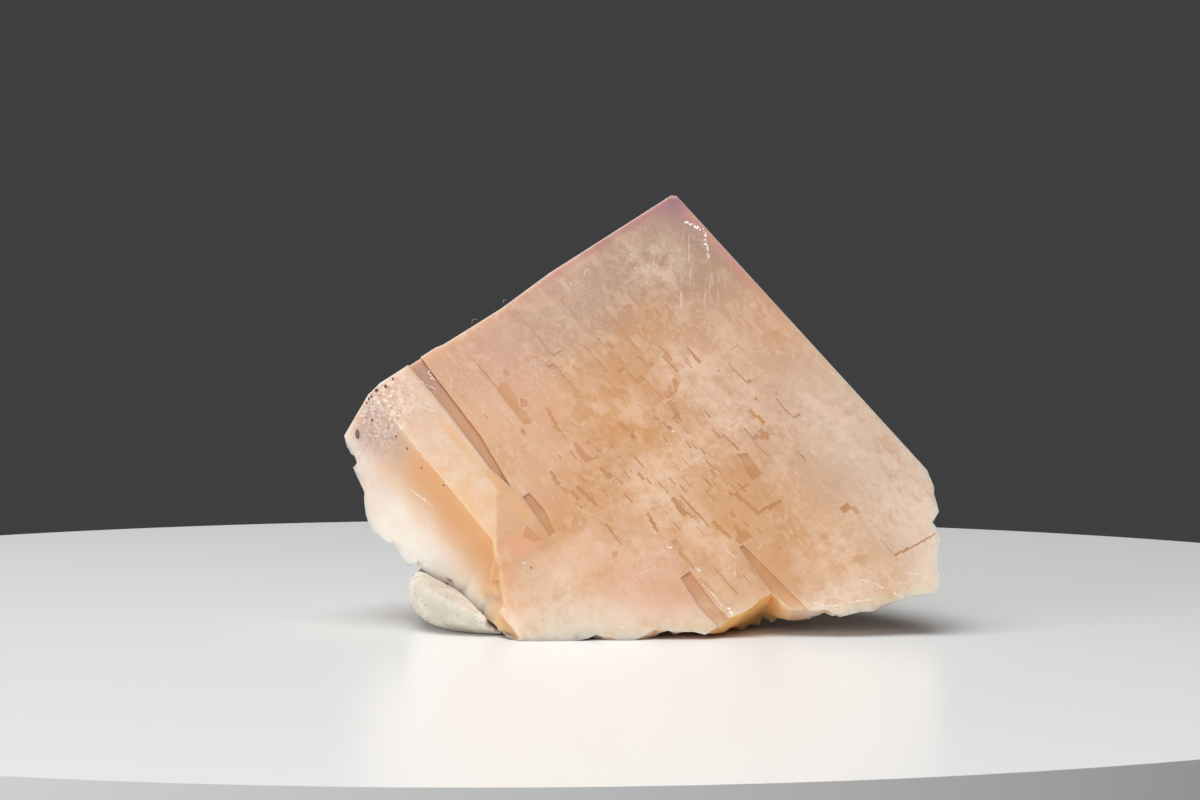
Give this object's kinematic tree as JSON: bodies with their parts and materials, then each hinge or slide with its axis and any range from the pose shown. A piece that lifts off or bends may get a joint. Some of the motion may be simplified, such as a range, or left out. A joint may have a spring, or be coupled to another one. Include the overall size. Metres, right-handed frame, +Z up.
{
  "type": "fluorite specimen",
  "caption": "Broken cube corner of peach-coloured fluorite with stepped growth faces, propped on a lump of mounting putty.",
  "frame": {"origin": "bottom centre of the bounding box of the crystal and its putty, on the table", "axes": "+Z up; +X to the right along the longest extent as the front cube face is seen; +Y away from the viewer, so the front cube face looks towards -Y and leans back"},
  "size_m": [0.0656, 0.0464, 0.0484],
  "materials": {
    "fluorite": "translucent, satin cube faces with fine growth steps, frosted breaks",
    "mounting_putty": "matt, dusty, softly dented"
  },
  "bodies": {
    "root": {"crystal": "fluorite", "putty_blob": "mounting_putty"}
  },
  "joints": []
}
